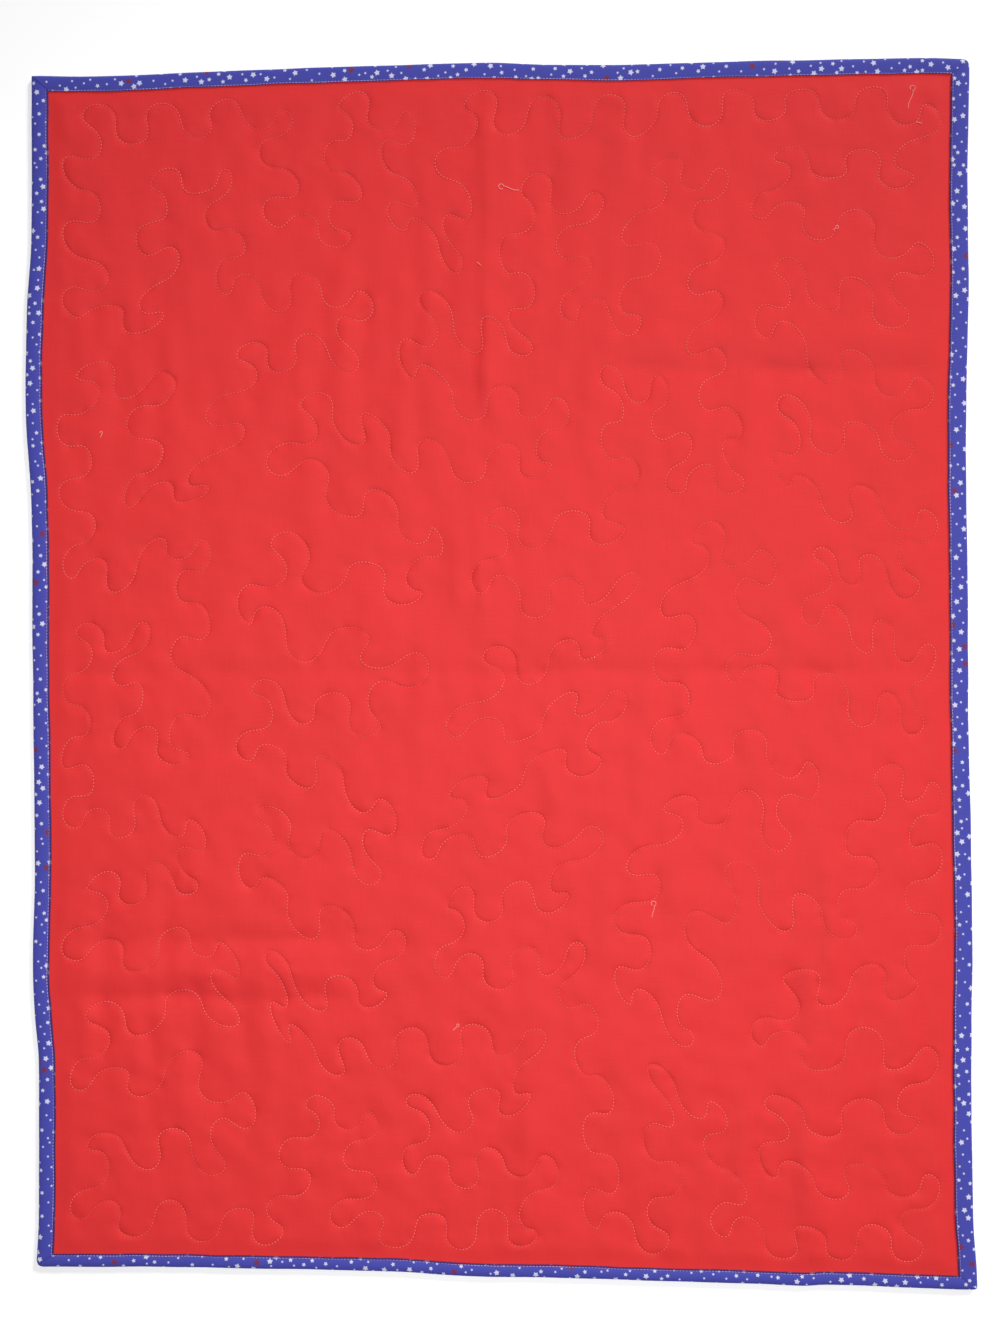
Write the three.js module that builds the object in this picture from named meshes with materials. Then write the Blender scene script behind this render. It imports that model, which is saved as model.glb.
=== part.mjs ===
// Baby quilt lying flat with its plain red back up: a quilted body, and a folded binding strip on each edge.
// Millimetres, +Z up. The origin is on the floor under the middle, and +Y runs towards the quilt's top edge.
import * as THREE from 'three';

// Cut size, and how wide the binding shows on each edge
const quiltWidth = 864;
const quiltLength = 1118;
const bindingShown = { left: 15.8, right: 17.3, top: 14.6, bottom: 12.5 };

// Heights above the floor
const fieldEdgeHeight = 3.65;
const stitchHeight = 3.7;
const puffHeight = 5.2;
const tongueUnderside = 1.35;
const noseHeight = 2.5;

// The body's edge is a thin tongue that ends inside the folded binding
const tongueInset = 3.2;
const noseInset = 2.6;
const tongueCornerCut = 2.5;
const undersideStep = 0.1;
const undersideBevel = 2.6;

// Folded binding cloth
const foldThickness = 1.3;
const legThickness = 1;
const upperLegHeight = 4;
const upperLegCrown = 5.15;
const upperLegShoulder = 4.8;
const foldRun = 2.2;
const foldShoulder = 1.75;
const lowerLegSetback = 0.3;
const mitreGap = 0.25;
const stationSpacing = 46;
const cornerStations = [0, 1, 2.5, 4.5, 7, 14];
const cornerRadius = { topLeft: 1.5, topRight: 7, bottomLeft: 7, bottomRight: 3 };

// Wandering quilting line: one closed loop over a coarse lattice, worked round a tree of larger cells.
// In each lattice step it rounds a lobe on its left and then one on its right.
const treeColumns = 7;
const treeRows = 9;
const quiltingSeed = 17;
const treeSwaps = 2000;
const stepCells = 4;
const handJitter = 0.15;

// One lattice step of that line. Columns: grid cells ahead, grid cells to the left.
const lobes = [[0, 0], [0, 0.9], [1, 1.49], [2, 0.9], [2, 0], [2, -0.9], [3, -1.49], [4, -0.9]];

// A lobe may be as small as this share of a full one, and leans ahead or back by up to this many grid cells
const smallestLobe = 0.8;
const lobeLean = 0.3;

// Drift of that line over the quilt, slow and quick, in grid cells and radians a side, calm near the edges
const drifts = [
  { size: 1.7, x: { along: 9, across: 4, start: 0 }, y: { along: -3, across: 11, start: 1.3 } },
  { size: 0.45, x: { along: 23, across: 17, start: 0.4 }, y: { along: 19, across: -26, start: 2 } },
];
const calmShare = 1 / 6;

// How far each edge lies outside a true rectangle. Columns: place along the edge, outward shift.
const edgeShift = {
  left: [
    [-545, -3], [-497, -5], [-358, -5], [-312, -1.5], [-275, 0.5], [-173, -1.5],
    [12, 0.5], [151, 1.5], [244, 7], [337, 5.5], [406, 1.5], [545, 1.5],
  ],
  right: [
    [-566, 7], [-543, 6], [-497, 3], [-358, 1.5], [-242, 2.5], [-150, 1], [-57, -1],
    [82, -2], [198, -3.5], [267, -3], [360, -1], [452, -2], [545, -0.5],
  ],
  top: [
    [-427, -7.5], [-371, -8], [-279, -4], [-140, 1], [-15, 4.5], [45, 3], [115, 2.5],
    [184, 5], [277, 7], [393, 9], [425, 8],
  ],
  bottom: [
    [-418, -12], [-325, -12], [-232, -10.5], [-94, -7.5], [-24, -3], [45, -2], [138, 1],
    [231, 3.5], [277, 5.5], [300, 4.5], [370, 7], [434, 9],
  ],
};

// Storage creases broad enough to show as shape. Columns: start x and y, end x and y, reach to a side, rise.
const creases = [
  [-418, -276, -94, -277, 18, 1.8],
  [60, 309, 416, 307, 14, 0.8],
  [302, -150, 284, -540, 14, 0.8],
  [-12, 540, -16, 230, 12, 0.7],
  [-22, 150, -22, 31, 14, 0.7],
  [-405, 1, 405, 1, 12, -0.5],
].map(([x0, y0, x1, y1, reach, rise]) => ({ x0, y0, x1, y1, reach, rise }));

const { clamp, lerp } = THREE.MathUtils;
const halfWidth = quiltWidth / 2;
const halfLength = quiltLength / 2;

// Smooth curve through a table of [place, value] rows, level beyond its ends.
function readTable(rows, place) {
  const last = rows.length - 1;
  const at = clamp(place, rows[0][0], rows[last][0]);
  const k = clamp(rows.findIndex((row) => row[0] >= at) - 1, 0, last - 1);
  const slope = (i) => {
    const before = rows[Math.max(i - 1, 0)];
    const after = rows[Math.min(i + 1, last)];
    return (after[1] - before[1]) / (after[0] - before[0]);
  };
  const span = rows[k + 1][0] - rows[k][0];
  const t = (at - rows[k][0]) / span;
  const bend = t * t * (3 - 2 * t);
  const leave = t * (1 - t) * (1 - t) * slope(k);
  const arrive = t * t * (t - 1) * slope(k + 1);
  return lerp(rows[k][1], rows[k + 1][1], bend) + span * (leave + arrive);
}

const leftEdge = (y) => -halfWidth - readTable(edgeShift.left, y);
const rightEdge = (y) => halfWidth + readTable(edgeShift.right, y);
const topEdge = (x) => halfLength + readTable(edgeShift.top, x);
const bottomEdge = (x) => -halfLength - readTable(edgeShift.bottom, x);

// Draws the square corner of the cut cloth in to a quarter circle.
function roundCorner(a, b) {
  const side = a < 0 ? 'Left' : 'Right';
  const radius = cornerRadius[(b < 0 ? 'bottom' : 'top') + side];
  const u = 1 - (halfWidth - Math.abs(a)) / radius;
  const v = 1 - (halfLength - Math.abs(b)) / radius;
  if (u <= 0 || v <= 0) {
    return [a, b];
  }
  const roundU = u * Math.sqrt(1 - (v * v) / 2);
  const roundV = v * Math.sqrt(1 - (u * u) / 2);
  return [
    Math.sign(a) * (halfWidth - radius * (1 - roundU)),
    Math.sign(b) * (halfLength - radius * (1 - roundV)),
  ];
}

// Lays a point of the flat cut cloth, measured from its middle, onto the uneven lying outline.
function lay(a, b) {
  const [cutA, cutB] = roundCorner(a, b);
  const across = cutA / quiltWidth + 0.5;
  const along = cutB / quiltLength + 0.5;
  let x = cutA;
  let y = cutB;
  for (let pass = 0; pass < 5; pass += 1) {
    const nextX = lerp(leftEdge(y), rightEdge(y), across);
    y = lerp(bottomEdge(x), topEdge(x), along);
    x = nextX;
  }
  return { x, y };
}

// Collects points and faces, then turns them into one closed geometry.
function makeSkin() {
  const points = [];
  const faces = [];
  return {
    add(x, y, z) {
      points.push(x, y, z);
      return points.length / 3 - 1;
    },
    triangle(p, q, r) {
      faces.push(p, q, r);
    },
    // Joins two loops of point numbers with a band of faces.
    band(loop, next) {
      loop.forEach((p, k) => {
        const ahead = (k + 1) % loop.length;
        faces.push(p, loop[ahead], next[ahead], p, next[ahead], next[k]);
      });
    },
    geometry() {
      const made = new THREE.BufferGeometry();
      made.setAttribute('position', new THREE.Float32BufferAttribute(points, 3));
      made.setIndex(faces);
      made.computeVertexNormals();
      return made;
    },
  };
}

// Repeatable random numbers from 0 to 1.
function makeRandom(seed) {
  let state = seed;
  return () => {
    state = (Math.imul(state, 1664525) + 1013904223) >>> 0;
    return state / 4294967296;
  };
}

const cellCount = treeColumns * treeRows;

// A random tree that reaches every cell, and the joins between cells that it leaves out.
function randomTree(random) {
  const joins = [];
  for (let cell = 0; cell < cellCount; cell += 1) {
    if ((cell + 1) % treeColumns) {
      joins.push({ from: cell, to: cell + 1, order: random() });
    }
    if (cell + treeColumns < cellCount) {
      joins.push({ from: cell, to: cell + treeColumns, order: random() });
    }
  }
  joins.sort((p, q) => p.order - q.order);
  const parent = Array.from({ length: cellCount }, (_, cell) => cell);
  const rootOf = (cell) => (parent[cell] === cell ? cell : rootOf(parent[cell]));
  const tree = [];
  const spare = [];
  joins.forEach((join) => {
    const start = rootOf(join.from);
    const end = rootOf(join.to);
    parent[start] = end;
    (start === end ? spare : tree).push(join);
  });
  return { tree, spare };
}

// Counts the lattice points where a line worked round the tree would run straight on.
function straightCount(tree) {
  const steps = Array.from({ length: cellCount }, () => []);
  tree.forEach(({ from, to }) => {
    steps[from].push(to - from);
    steps[to].push(from - to);
  });
  return steps.reduce((sum, list) => {
    const through = list.length === 2 && list[0] + list[1] === 0;
    return sum + (through ? 4 : list.length < 4 ? 2 : 0);
  }, 0);
}

function reachesAll(tree) {
  const near = Array.from({ length: cellCount }, () => []);
  tree.forEach(({ from, to }) => {
    near[from].push(to);
    near[to].push(from);
  });
  const seen = new Set([0]);
  seen.forEach((cell) => near[cell].forEach((next) => seen.add(next)));
  return seen.size === cellCount;
}

// Swaps joins for spare ones as long as the line turns at least as often as before.
function addTurns(tree, spare, random) {
  let fewest = straightCount(tree);
  for (let attempt = 0; attempt < treeSwaps; attempt += 1) {
    const i = Math.floor(random() * tree.length);
    const j = Math.floor(random() * spare.length);
    [tree[i], spare[j]] = [spare[j], tree[i]];
    const count = straightCount(tree);
    if (count <= fewest && reachesAll(tree)) {
      fewest = count;
    } else {
      [tree[i], spare[j]] = [spare[j], tree[i]];
    }
  }
}

// Goes once round the tree, through the four lattice points of every cell.
function walkRound(tree) {
  const linked = new Set(tree.flatMap(({ from, to }) => [from * cellCount + to, to * cellCount + from]));
  const neighbours = ([x, y]) => {
    const cell = (y >> 1) * treeColumns + (x >> 1);
    const outX = x % 2 ? 1 : -1;
    const outY = y % 2 ? 1 : -1;
    return [
      linked.has(cell * cellCount + cell + outX) ? [x + outX, y] : [x, y ^ 1],
      linked.has(cell * cellCount + cell + outY * treeColumns) ? [x, y + outY] : [x ^ 1, y],
    ];
  };
  const path = [[0, 0]];
  let before = [1, 0];
  let here = path[0];
  for (let k = 1; k < 4 * cellCount; k += 1) {
    const [first, second] = neighbours(here);
    const cameFromFirst = first[0] === before[0] && first[1] === before[1];
    before = here;
    here = cameFromFirst ? second : first;
    path.push(here);
  }
  return path;
}

const fieldLeft = -halfWidth + bindingShown.left;
const fieldBottom = -halfLength + bindingShown.bottom;
const fieldColumns = 2 * treeColumns * stepCells;
const fieldRows = 2 * treeRows * stepCells;
const cellWidth = (quiltWidth - bindingShown.left - bindingShown.right) / fieldColumns;
const cellLength = (quiltLength - bindingShown.bottom - bindingShown.top) / fieldRows;

// The quilting line as points of the field's grid in sewing order, each with a hand's shift.
function quiltingLine() {
  const random = makeRandom(quiltingSeed);
  const { tree, spare } = randomTree(random);
  addTurns(tree, spare, random);
  const path = walkRound(tree);
  const eitherWay = (most) => (random() * 2 - 1) * most;
  return path.flatMap(([x, y], k) => {
    const [nextX, nextY] = path[(k + 1) % path.length];
    const ahead = { i: nextX - x, j: nextY - y };
    const leftLobe = { size: lerp(smallestLobe, 1, random()), lean: eitherWay(lobeLean) };
    const rightLobe = { size: lerp(smallestLobe, 1, random()), lean: eitherWay(lobeLean) };
    return lobes.map(([along, left]) => {
      const { size, lean } = left < 0 ? rightLobe : leftLobe;
      const wholeLeft = Math.round(left);
      const moreLeft = left * size - wholeLeft;
      const moreAlong = left ? lean : 0;
      return {
        i: stepCells * (x + 0.5) + along * ahead.i - wholeLeft * ahead.j,
        j: stepCells * (y + 0.5) + along * ahead.j + wholeLeft * ahead.i,
        shiftI: eitherWay(handJitter) + moreAlong * ahead.i - moreLeft * ahead.j,
        shiftJ: eitherWay(handJitter) + moreAlong * ahead.j + moreLeft * ahead.i,
      };
    });
  });
}

// Place on the cut cloth of a spot on the field's grid, with the drifts.
function gridSpot(i, j) {
  const s = i / fieldColumns;
  const t = j / fieldRows;
  const calmOf = (share) => Math.min(1, share / calmShare, (1 - share) / calmShare);
  const calm = calmOf(s) * calmOf(t);
  const sway = ({ along, across, start }) => calm * Math.sin(along * t + across * s + start);
  const driftI = drifts.reduce((sum, { size, x }) => sum + size * sway(x), 0);
  const driftJ = drifts.reduce((sum, { size, y }) => sum + size * sway(y), 0);
  return {
    a: fieldLeft + (i + driftI) * cellWidth,
    b: fieldBottom + (j + driftJ) * cellLength,
  };
}

// Height that the creases add at a point of the lying quilt.
function creaseRise(x, y) {
  return creases.reduce((sum, { x0, y0, x1, y1, reach, rise }) => {
    const start = new THREE.Vector3(x0, y0, 0);
    const end = new THREE.Vector3(x1, y1, 0);
    const spot = new THREE.Vector3(x, y, 0);
    const nearest = new THREE.Line3(start, end).closestPointToPoint(spot, true, new THREE.Vector3());
    return sum + rise * Math.exp(-((nearest.distanceTo(spot) / reach) ** 2));
  }, 0);
}

// Points of the red field. Those on the quilting line are sewn down and the rest are puffed.
function fieldPoints(line) {
  const sewn = new Map(line.map((point) => [`${point.i},${point.j}`, point]));
  const rows = [];
  for (let j = 0; j <= fieldRows; j += 1) {
    const row = [];
    for (let i = 0; i <= fieldColumns; i += 1) {
      const onEdge = i % fieldColumns === 0 || j % fieldRows === 0;
      const seam = sewn.get(`${i},${j}`);
      const { a, b } = gridSpot(i + (seam?.shiftI ?? 0), j + (seam?.shiftJ ?? 0));
      const { x, y } = lay(a, b);
      const level = seam ? stitchHeight : puffHeight;
      row.push({ a, b, height: onEdge ? fieldEdgeHeight : level + creaseRise(x, y) });
    }
    rows.push(row);
  }
  return rows;
}

// Grid cells that the quilting line crosses: 0 from the cell's first corner, 1 from its second.
function sewnCells(line) {
  const cells = new Map();
  line.forEach((point, k) => {
    const next = line[(k + 1) % line.length];
    const slope = (next.i - point.i) * (next.j - point.j);
    if (slope) {
      cells.set(`${Math.min(point.i, next.i)},${Math.min(point.j, next.j)}`, slope > 0 ? 0 : 1);
    }
  });
  return cells;
}

const turnOf = (p, q, r) => (q.a - p.a) * (r.b - p.b) - (q.b - p.b) * (r.a - p.a);

// Steps of the field's edge, anticlockwise from its bottom left corner.
function fieldPerimeter() {
  const upTo = (count) => Array.from({ length: count }, (_, k) => k);
  return [
    ...upTo(fieldColumns).map((i) => [i, 0]),
    ...upTo(fieldRows).map((j) => [fieldColumns, j]),
    ...upTo(fieldColumns).map((i) => [fieldColumns - i, fieldRows]),
    ...upTo(fieldRows).map((j) => [0, fieldRows - j]),
  ];
}

// Rectangle set in from the cut edges, with one point for each step of the field's edge.
function insetLoop(inset, cornerCut) {
  return fieldPerimeter().map(([i, j]) => {
    const atCorner = i % fieldColumns === 0 && j % fieldRows === 0;
    const cut = atCorner ? cornerCut : 0;
    return {
      a: lerp(-halfWidth + inset.left + cut, halfWidth - inset.right - cut, i / fieldColumns),
      b: lerp(-halfLength + inset.bottom + cut, halfLength - inset.top - cut, j / fieldRows),
    };
  });
}

// Red back, wadding and hidden front, quilted into one filled cloth with a flat underside.
function quiltBody() {
  const skin = makeSkin();
  const addAt = ({ a, b }, height) => {
    const { x, y } = lay(a, b);
    return skin.add(x, y, height);
  };
  const line = quiltingLine();
  const field = fieldPoints(line);
  const sewn = sewnCells(line);
  const numbers = field.map((row) => row.map((point) => addAt(point, point.height)));
  for (let j = 0; j < fieldRows; j += 1) {
    for (let i = 0; i < fieldColumns; i += 1) {
      const corners = [[i, j], [i + 1, j], [i + 1, j + 1], [i, j + 1]];
      const spots = corners.map(([x, y]) => field[y][x]);
      const ids = corners.map(([x, y]) => numbers[y][x]);
      // the two faces meet on the quilting line, unless that would fold one of them under
      const wanted = sewn.get(`${i},${j}`) ?? (i + j) % 2;
      const fits = (k) => Math.min(
        turnOf(spots[k], spots[k + 1], spots[k + 2]),
        turnOf(spots[k], spots[k + 2], spots[(k + 3) % 4]),
      );
      const k = fits(wanted) > 0 ? wanted : 1 - wanted;
      skin.triangle(ids[k], ids[k + 1], ids[k + 2]);
      skin.triangle(ids[k], ids[k + 2], ids[(k + 3) % 4]);
    }
  }
  const evenly = (inset) => ({ left: inset, right: inset, top: inset, bottom: inset });
  const shownPlus = (more) => ({
    left: bindingShown.left + more,
    right: bindingShown.right + more,
    top: bindingShown.top + more,
    bottom: bindingShown.bottom + more,
  });
  const rims = [
    { inset: evenly(tongueInset), cut: tongueCornerCut, height: fieldEdgeHeight },
    { inset: evenly(noseInset), cut: tongueCornerCut, height: noseHeight },
    { inset: evenly(tongueInset), cut: tongueCornerCut, height: tongueUnderside },
    { inset: shownPlus(undersideStep), cut: 0, height: tongueUnderside },
    { inset: shownPlus(undersideBevel), cut: 0, height: 0 },
  ];
  let loop = fieldPerimeter().map(([i, j]) => numbers[j][i]);
  let outline = [];
  rims.forEach(({ inset, cut, height }) => {
    outline = insetLoop(inset, cut);
    const next = outline.map((point) => addAt(point, height));
    skin.band(next, loop);
    loop = next;
  });
  const flat = outline.map((point) => new THREE.Vector2(point.a, point.b));
  THREE.ShapeUtils.triangulateShape(flat, []).forEach(([p, q, r]) => {
    skin.triangle(loop[p], loop[r], loop[q]);
  });
  return skin.geometry();
}

// Section of a folded binding strip: distance in from the cut edge, and height.
function bindingSection(shown) {
  const lowerEnd = shown - lowerLegSetback;
  return [
    [shown, upperLegHeight],
    [shown, upperLegShoulder],
    [shown / 2, upperLegCrown],
    [foldShoulder, upperLegShoulder],
    [0, noseHeight],
    [foldShoulder, 0],
    [lowerEnd, 0],
    [lowerEnd, legThickness],
    [foldRun, legThickness],
    [foldThickness, noseHeight],
    [foldRun, upperLegHeight],
  ];
}

// Places along an edge where the strip's section is drawn, closer together at the corners.
function stationsAlong(length) {
  const end = cornerStations.at(-1);
  const steps = Math.round((length - 2 * end) / stationSpacing);
  const middle = Array.from({ length: steps - 1 }, (_, k) => lerp(end, length - end, (k + 1) / steps));
  const far = cornerStations.map((place) => length - place).reverse();
  return [...cornerStations, ...middle, ...far].map((place) => place / length);
}

// One binding strip, mitred at both ends. toCloth turns a place along and a distance in to a cloth point.
function bindingStrip(edge) {
  const { length, shown, shownBefore, shownAfter, toCloth } = edge;
  const skin = makeSkin();
  const section = bindingSection(shown);
  const loops = stationsAlong(length).map((share) => section.map(([inward, height]) => {
    const start = mitreGap + (inward * shownBefore) / shown;
    const stop = length - mitreGap - (inward * shownAfter) / shown;
    const { x, y } = lay(...toCloth(lerp(start, stop, share), inward));
    return skin.add(x, y, height);
  }));
  for (let k = 1; k < loops.length; k += 1) {
    skin.band(loops[k - 1], loops[k]);
  }
  const shape = section.map(([inward, height]) => new THREE.Vector2(inward, height));
  THREE.ShapeUtils.triangulateShape(shape, []).forEach(([p, q, r]) => {
    const first = loops[0];
    const last = loops.at(-1);
    const turn = shape[q].clone().sub(shape[p]).cross(shape[r].clone().sub(shape[p]));
    const [u, v] = turn > 0 ? [r, q] : [q, r];
    skin.triangle(first[p], first[u], first[v]);
    skin.triangle(last[p], last[v], last[u]);
  });
  return skin.geometry();
}

// Each edge runs anticlockwise round the quilt as seen from above.
const edges = {
  bottom: {
    length: quiltWidth,
    shown: bindingShown.bottom,
    shownBefore: bindingShown.left,
    shownAfter: bindingShown.right,
    toCloth: (along, inward) => [along - halfWidth, inward - halfLength],
  },
  right: {
    length: quiltLength,
    shown: bindingShown.right,
    shownBefore: bindingShown.bottom,
    shownAfter: bindingShown.top,
    toCloth: (along, inward) => [halfWidth - inward, along - halfLength],
  },
  top: {
    length: quiltWidth,
    shown: bindingShown.top,
    shownBefore: bindingShown.right,
    shownAfter: bindingShown.left,
    toCloth: (along, inward) => [halfWidth - along, halfLength - inward],
  },
  left: {
    length: quiltLength,
    shown: bindingShown.left,
    shownBefore: bindingShown.top,
    shownAfter: bindingShown.bottom,
    toCloth: (along, inward) => [inward - halfWidth, halfLength - along],
  },
};

const redCotton = new THREE.MeshStandardMaterial({ color: 0xdc3d40, roughness: 0.95, metalness: 0 });
const blueCotton = new THREE.MeshStandardMaterial({ color: 0x4a50a2, roughness: 0.92, metalness: 0 });

const quilt = new THREE.Group();
const body = new THREE.Mesh(quiltBody(), redCotton);
body.name = 'quilt_body';
quilt.add(body);
Object.entries(edges).forEach(([name, edge]) => {
  const strip = new THREE.Mesh(bindingStrip(edge), blueCotton);
  strip.name = `binding_${name}`;
  quilt.add(strip);
});

export default quilt;
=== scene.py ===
import bpy
import math
import numpy as np
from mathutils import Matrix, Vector, kdtree, noise
from mathutils.bvhtree import BVHTree
from mathutils.geometry import delaunay_2d_cdt


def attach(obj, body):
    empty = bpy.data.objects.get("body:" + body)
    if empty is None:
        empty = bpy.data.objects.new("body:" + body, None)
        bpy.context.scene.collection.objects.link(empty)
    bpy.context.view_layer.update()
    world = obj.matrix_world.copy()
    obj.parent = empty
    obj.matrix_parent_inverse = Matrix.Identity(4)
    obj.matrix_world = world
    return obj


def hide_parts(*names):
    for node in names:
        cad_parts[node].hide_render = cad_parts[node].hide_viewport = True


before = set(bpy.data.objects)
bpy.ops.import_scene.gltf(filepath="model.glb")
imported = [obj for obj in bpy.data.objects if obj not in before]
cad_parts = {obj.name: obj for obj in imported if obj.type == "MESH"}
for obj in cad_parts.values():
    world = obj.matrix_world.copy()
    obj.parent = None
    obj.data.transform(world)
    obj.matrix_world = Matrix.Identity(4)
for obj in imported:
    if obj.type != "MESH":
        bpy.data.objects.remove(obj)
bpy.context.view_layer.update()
mm = 0.001  # every size below is in millimetres until it goes into a mesh
print("frame loaded:", sorted(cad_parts))

# the quilt as it was cut, before it was laid out
quilt = {
    "width": 864,
    "length": 1118,
    "bindingShown": {"left": 15.8, "right": 17.3, "top": 14.6, "bottom": 12.5},
    "cornerRadius": {(-1, 1): 1.5, (1, 1): 7, (-1, -1): 7, (1, -1): 3},  # (side of x, side of y)
    "layingPasses": 5,  # each pass reads the edges nearer to where a point comes to lie
}
halfWidth = quilt["width"] / 2
halfLength = quilt["length"] / 2
shown = quilt["bindingShown"]

# how far each edge lies outside a true rectangle: place along the edge, outward shift
edgeShift = {
    "left": [
        (-545, -3), (-497, -5), (-358, -5), (-312, -1.5), (-275, 0.5), (-173, -1.5),
        (12, 0.5), (151, 1.5), (244, 7), (337, 5.5), (406, 1.5), (545, 1.5),
    ],
    "right": [
        (-566, 7), (-543, 6), (-497, 3), (-358, 1.5), (-242, 2.5), (-150, 1), (-57, -1),
        (82, -2), (198, -3.5), (267, -3), (360, -1), (452, -2), (545, -0.5),
    ],
    "top": [
        (-427, -7.5), (-371, -8), (-279, -4), (-140, 1), (-15, 4.5), (45, 3), (115, 2.5),
        (184, 5), (277, 7), (393, 9), (425, 8),
    ],
    "bottom": [
        (-418, -12), (-325, -12), (-232, -10.5), (-94, -7.5), (-24, -3), (45, -2), (138, 1),
        (231, 3.5), (277, 5.5), (300, 4.5), (370, 7), (434, 9),
    ],
}


def mix(low, high, share):
    return low + (high - low) * share


def smooth(value):
    value = np.clip(value, 0, 1)
    return value * value * (3 - 2 * value)


# smooth curve through a table of (place, value) rows, level beyond its ends
def readTable(rows, place):
    places, values = np.array(rows, float).T
    slopes = np.zeros(len(values))
    slopes[1:-1] = (values[2:] - values[:-2]) / (places[2:] - places[:-2])
    slopes[0] = (values[1] - values[0]) / (places[1] - places[0])
    slopes[-1] = (values[-1] - values[-2]) / (places[-1] - places[-2])
    at = np.clip(place, places[0], places[-1])
    k = np.clip(np.searchsorted(places, at) - 1, 0, len(rows) - 2)
    span = places[k + 1] - places[k]
    t = (at - places[k]) / span
    leave = t * (1 - t) ** 2 * slopes[k]
    arrive = t * t * (t - 1) * slopes[k + 1]
    return mix(values[k], values[k + 1], smooth(t)) + span * (leave + arrive)


# draws the square corners of the cut cloth in to quarter circles
def roundCorners(a, b):
    for (sideA, sideB), radius in quilt["cornerRadius"].items():
        u = 1 - (halfWidth - sideA * a) / radius
        v = 1 - (halfLength - sideB * b) / radius
        near = (u > 0) & (v > 0)
        roundU = u * np.sqrt(np.maximum(1 - v * v / 2, 0))
        roundV = v * np.sqrt(np.maximum(1 - u * u / 2, 0))
        a = np.where(near, sideA * (halfWidth - radius * (1 - roundU)), a)
        b = np.where(near, sideB * (halfLength - radius * (1 - roundV)), b)
    return a, b


# lays points of the flat cut cloth, measured from its middle, onto the uneven lying outline
def layCloth(a, b):
    a, b = roundCorners(np.asarray(a, float), np.asarray(b, float))
    across = a / quilt["width"] + 0.5
    along = b / quilt["length"] + 0.5
    x, y = a, b
    for _ in range(quilt["layingPasses"]):
        left = -halfWidth - readTable(edgeShift["left"], y)
        right = halfWidth + readTable(edgeShift["right"], y)
        bottom = -halfLength - readTable(edgeShift["bottom"], x)
        top = halfLength + readTable(edgeShift["top"], x)
        x, y = mix(left, right, across), mix(bottom, top, along)
    return x, y


# uneven height or shift from 0, one value a point, at a wavelength in millimetres
def unevenness(a, b, wavelength, seed):
    return np.array([noise.noise((p / wavelength, q / wavelength, seed)) for p, q in zip(a, b)])


# one wandering quilting line: a closed loop over a coarse lattice, worked round a tree of larger cells,
# that rounds a lobe on its left and then one on its right in each lattice step
quilting = {
    "treeColumns": 7,
    "treeRows": 9,
    "seed": 17,
    "treeSwaps": 2000,
    "stepCells": 4,
    "lobes": [  # grid cells ahead, grid cells to the left
        (0, 0), (0, 0.9), (1, 1.49), (2, 0.9), (2, 0), (2, -0.9), (3, -1.49), (4, -0.9),
    ],
    "smallestLobe": 0.8,  # share of a full one
    "lobeLean": 0.3,
    "handJitter": 0.15,
    "drifts": [  # size, then for x and y: radians along a side, radians across, start
        (1.7, (9, 4, 0), (-3, 11, 1.3)),
        (0.45, (23, 17, 0.4), (19, -26, 2)),
    ],
    "calmShare": 1 / 6,
    "samplesPerKnot": 8,
    "roundingPasses": 3,
    "roundingReach": 4,
    "lineSpacing": 0.5,
}
columns, rows = quilting["treeColumns"], quilting["treeRows"]
cellCount = columns * rows
fieldLeft = -halfWidth + shown["left"]
fieldRight = halfWidth - shown["right"]
fieldBottom = -halfLength + shown["bottom"]
fieldTop = halfLength - shown["top"]


# draws numbers from 0 to 1, the same ones as the part's source draws
def makeRandom(seed):
    factor, shift, span = 1664525, 1013904223, 2 ** 32
    state = [seed]

    def draw():
        state[0] = (state[0] * factor + shift) % span
        return state[0] / span
    return draw


# a random tree that reaches every cell, and the joins between cells that it leaves out
def randomTree(random):
    joins = []
    for cell in range(cellCount):
        if (cell + 1) % columns:
            joins.append((random(), cell, cell + 1))
        if cell + columns < cellCount:
            joins.append((random(), cell, cell + columns))
    parent = list(range(cellCount))

    def rootOf(cell):
        while parent[cell] != cell:
            cell = parent[cell]
        return cell
    tree, spare = [], []
    for _, start, end in sorted(joins):
        rootA, rootB = rootOf(start), rootOf(end)
        (spare if rootA == rootB else tree).append((start, end))
        parent[rootA] = rootB
    return tree, spare


def cellNeighbours(tree):
    near = [[] for _ in range(cellCount)]
    for start, end in tree:
        near[start].append(end)
        near[end].append(start)
    return near


# lattice points where a line worked round the tree would run straight on
def straightCount(tree):
    count = 0
    for cell, near in enumerate(cellNeighbours(tree)):
        through = len(near) == 2 and near[0] + near[1] == 2 * cell
        count += 4 if through else 2 if len(near) < 4 else 0
    return count


def reachesAll(tree):
    near = cellNeighbours(tree)
    seen, waiting = {0}, [0]
    while waiting:
        for cell in near[waiting.pop()]:
            if cell not in seen:
                seen.add(cell)
                waiting.append(cell)
    return len(seen) == cellCount


# swaps joins for spare ones as long as the line turns at least as often as before
def addTurns(tree, spare, random):
    fewest = straightCount(tree)
    for _ in range(quilting["treeSwaps"]):
        i, j = int(random() * len(tree)), int(random() * len(spare))
        tree[i], spare[j] = spare[j], tree[i]
        count = straightCount(tree)
        if count <= fewest and reachesAll(tree):
            fewest = count
        else:
            tree[i], spare[j] = spare[j], tree[i]


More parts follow.
